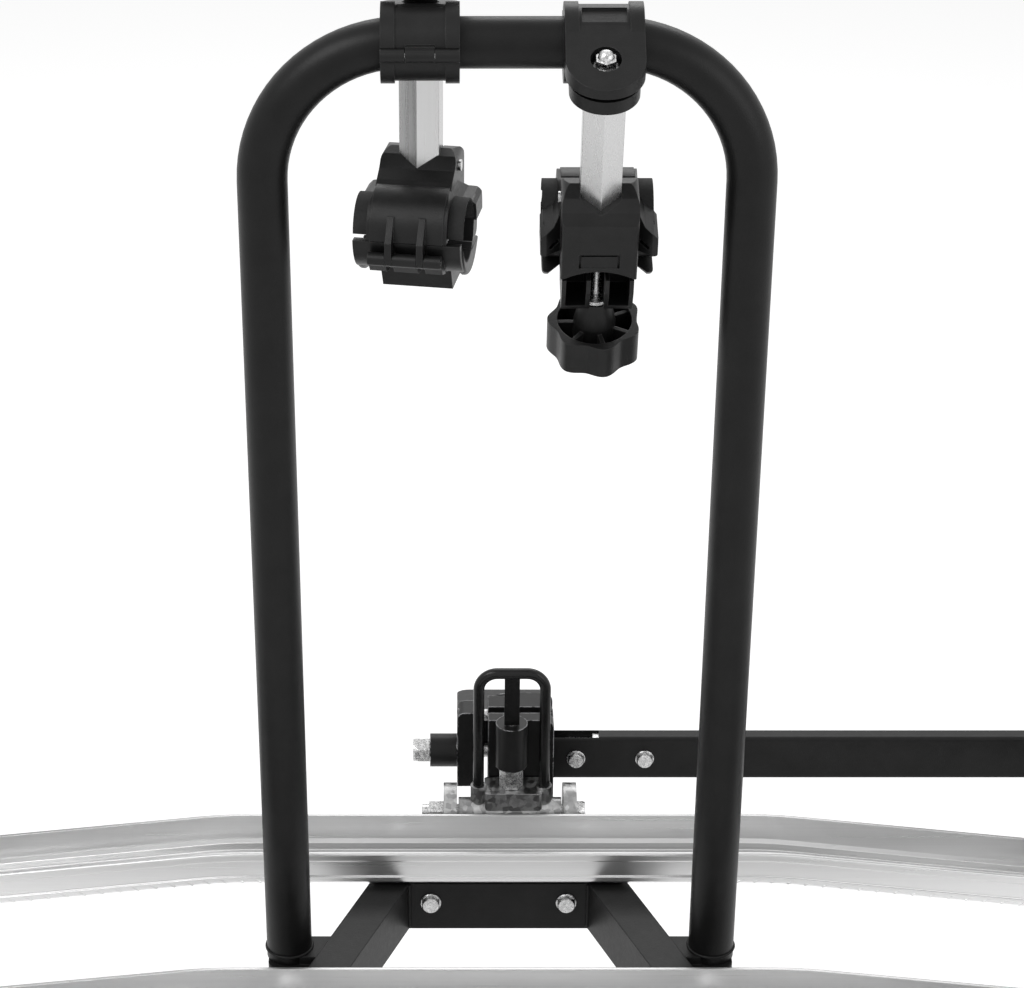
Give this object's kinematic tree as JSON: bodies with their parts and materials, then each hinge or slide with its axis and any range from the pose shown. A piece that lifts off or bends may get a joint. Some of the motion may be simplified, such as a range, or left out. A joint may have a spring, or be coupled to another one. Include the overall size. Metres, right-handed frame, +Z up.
{
  "type": "towbar bike rack",
  "caption": "Platform bicycle rack that clamps on a tow ball, with two wheel channels, a tubular upright, two clamping frame arms and a lamp board.",
  "frame": {"origin": "centre of the tow ball, in the coupling's socket", "axes": "+Z up, +Y forward to the car, +X along the wheel channels, to the right seen from behind the car"},
  "size_m": [1.3028, 0.541, 0.9328],
  "materials": {
    "black_steel": "satin black powder coat",
    "satin_black_tube": "satin black powder coat",
    "gloss_black_wire": "glossy black",
    "black_plastic": "fine-grained moulded",
    "strap_plastic": "toothed strap",
    "zinc_steel": "zinc plated",
    "galvanised_steel": "hot-dip galvanised",
    "aluminium_rail": "plain extruded",
    "aluminium_tube": "clear anodised",
    "rubber": "matt",
    "red_lens": "ribbed lens",
    "amber_lens": "ribbed lens"
  },
  "bodies": {
    "coupling": {"coupling_body": "black_steel", "coupling_yoke": "galvanised_steel", "guide_pin": "zinc_steel"},
    "cheek": {"ball_cheek": "black_steel", "clamp_screw": "zinc_steel"},
    "adjuster": {"adjusting_nut": "zinc_steel"},
    "lever": {"lever_tube": "black_steel", "lever_cam": "zinc_steel", "lever_bolts": "zinc_steel", "lever_end_cap": "black_plastic"},
    "handle": {"release_bail": "gloss_black_wire", "latch_plunger": "zinc_steel"},
    "platform": {"tilt_bracket": "galvanised_steel", "tilt_bolt": "zinc_steel", "frame_arms": "black_steel", "cross_brace": "black_steel", "brace_bolts": "zinc_steel", "rear_bar": "black_steel", "tube_plugs": "black_plastic", "foot_brackets": "black_steel", "foot_bolts": "zinc_steel", "u_frame": "satin_black_tube", "rail_far": "aluminium_rail", "rail_near": "aluminium_rail", "rail_pads": "rubber", "rail_bolts": "zinc_steel", "rail_end_caps": "black_plastic", "wheel_cups": "black_plastic", "strap_bands": "strap_plastic", "buckle_bodies": "black_plastic", "lamp_panel": "black_plastic", "lamp_housings": "black_plastic", "red_lenses": "red_lens", "amber_lenses": "amber_lens", "plate_holder": "black_plastic", "cable_gland": "black_plastic"},
    "buckle_1": {"buckle_lever_1": "black_plastic"},
    "buckle_2": {"buckle_lever_2": "black_plastic"},
    "buckle_3": {"buckle_lever_3": "black_plastic"},
    "buckle_4": {"buckle_lever_4": "black_plastic"},
    "left_clamp": {"left_clamp_upper": "black_plastic", "left_clamp_lower": "black_plastic", "left_clamp_hinge_pin": "zinc_steel", "left_knob_washer": "zinc_steel"},
    "left_knob": {"left_star_knob": "black_plastic"},
    "left_rod": {"left_arm_rod": "zinc_steel"},
    "left_swivel": {"left_hex_tube": "aluminium_tube", "left_jaw_body": "black_plastic", "left_jaw_pins": "zinc_steel"},
    "left_door": {"left_jaw_door": "black_plastic"},
    "right_clamp": {"right_clamp_upper": "black_plastic", "right_clamp_lower": "black_plastic", "right_clamp_hinge_pin": "zinc_steel", "right_arm_rod": "zinc_steel"},
    "right_swivel": {"right_hex_tube": "aluminium_tube", "right_jaw_body": "black_plastic", "right_jaw_pins": "zinc_steel"},
    "right_door": {"right_jaw_door": "black_plastic"},
    "right_washer": {"right_knob_washer": "zinc_steel"},
    "right_knob": {"right_star_knob": "black_plastic"}
  },
  "joints": [
    {"name": "cheek_slide", "type": "slide", "parent": "coupling", "child": "cheek", "axis": [-1, 0, 0], "range_m": [0, 0.006]},
    {"name": "lever_swing", "type": "hinge", "parent": "cheek", "child": "lever", "pos_m": [0.0563, -0.036, -0.0094], "axis": [0, -1, 0], "range_deg": [0, 90]},
    {"name": "nut_turn", "type": "hinge", "parent": "cheek", "child": "adjuster", "pos_m": [-0.073, -0.036, -0.0055], "axis": [1, 0, 0], "continuous": true},
    {"name": "handle_lift", "type": "slide", "parent": "coupling", "child": "handle", "axis": [0, 0, 1], "range_m": [0, 0.012], "stiffness_N_per_m": 400, "springref_m": -0.01},
    {"name": "platform_tilt", "type": "hinge", "parent": "coupling", "child": "platform", "pos_m": [0, -0.09, -0.032], "axis": [1, 0, 0], "range_deg": [0, 40]},
    {"name": "buckle_1_lift", "type": "hinge", "parent": "platform", "child": "buckle_1", "pos_m": [0.53423, -0.1089, -0.01749], "axis": [0.994, 0, -0.1097], "range_deg": [0, 75]},
    {"name": "buckle_2_lift", "type": "hinge", "parent": "platform", "child": "buckle_2", "pos_m": [-0.55543, -0.1089, -0.01749], "axis": [0.994, 0, 0.1097], "range_deg": [0, 75]},
    {"name": "buckle_3_lift", "type": "hinge", "parent": "platform", "child": "buckle_3", "pos_m": [0.53423, -0.4271, -0.01749], "axis": [-0.994, 0, 0.1097], "range_deg": [0, 75]},
    {"name": "buckle_4_lift", "type": "hinge", "parent": "platform", "child": "buckle_4", "pos_m": [-0.55543, -0.4271, -0.01749], "axis": [-0.994, 0, -0.1097], "range_deg": [0, 75]},
    {"name": "left_arm_swing", "type": "hinge", "parent": "platform", "child": "left_clamp", "pos_m": [-0.0696, -0.268, 0.69], "axis": [1, 0, 0], "range_deg": [-150, 150]},
    {"name": "left_knob_turn", "type": "hinge", "parent": "left_clamp", "child": "left_knob", "pos_m": [-0.0696, -0.228, 0.73], "axis": [0, 0, 1], "continuous": true},
    {"name": "left_rod_drop", "type": "slide", "parent": "left_clamp", "child": "left_rod", "axis": [0, 0, -1], "range_m": [0, 0.022]},
    {"name": "left_jaw_swivel", "type": "hinge", "parent": "left_clamp", "child": "left_swivel", "pos_m": [-0.0696, -0.228, 0.6], "axis": [0, 0, 1], "range_deg": [-80, 100]},
    {"name": "left_door_open", "type": "hinge", "parent": "left_swivel", "child": "left_door", "pos_m": [-0.08071, -0.29103, 0.542], "axis": [-0.9848, 0.1736, 0], "range_deg": [0, 13]},
    {"name": "right_arm_swing", "type": "hinge", "parent": "platform", "child": "right_clamp", "pos_m": [0.0528, -0.268, 0.69], "axis": [-1, 0, 0], "range_deg": [-150, 150]},
    {"name": "right_jaw_swivel", "type": "hinge", "parent": "right_clamp", "child": "right_swivel", "pos_m": [0.0528, -0.30604, 0.67764], "axis": [0, -0.309, 0.9511], "range_deg": [-90, 90]},
    {"name": "right_door_open", "type": "hinge", "parent": "right_swivel", "child": "right_door", "pos_m": [0.0528, -0.19944, 0.55666], "axis": [1, 0, 0], "range_deg": [0, 13]},
    {"name": "right_washer_drop", "type": "slide", "parent": "right_clamp", "child": "right_washer", "axis": [0, 0.309, -0.9511], "range_m": [0, 0.022]},
    {"name": "right_knob_turn", "type": "hinge", "parent": "right_washer", "child": "right_knob", "pos_m": [0.0528, -0.30604, 0.67764], "axis": [0, 0.309, -0.9511], "continuous": true}
  ],
  "couplings": [
    {"joint": "cheek_slide", "follows": "lever_swing", "m_per_rad": 0.0038196},
    {"joint": "left_door_open", "follows": "left_rod_drop", "rad_per_m": 10.313},
    {"joint": "right_door_open", "follows": "right_washer_drop", "rad_per_m": 10.313}
  ]
}
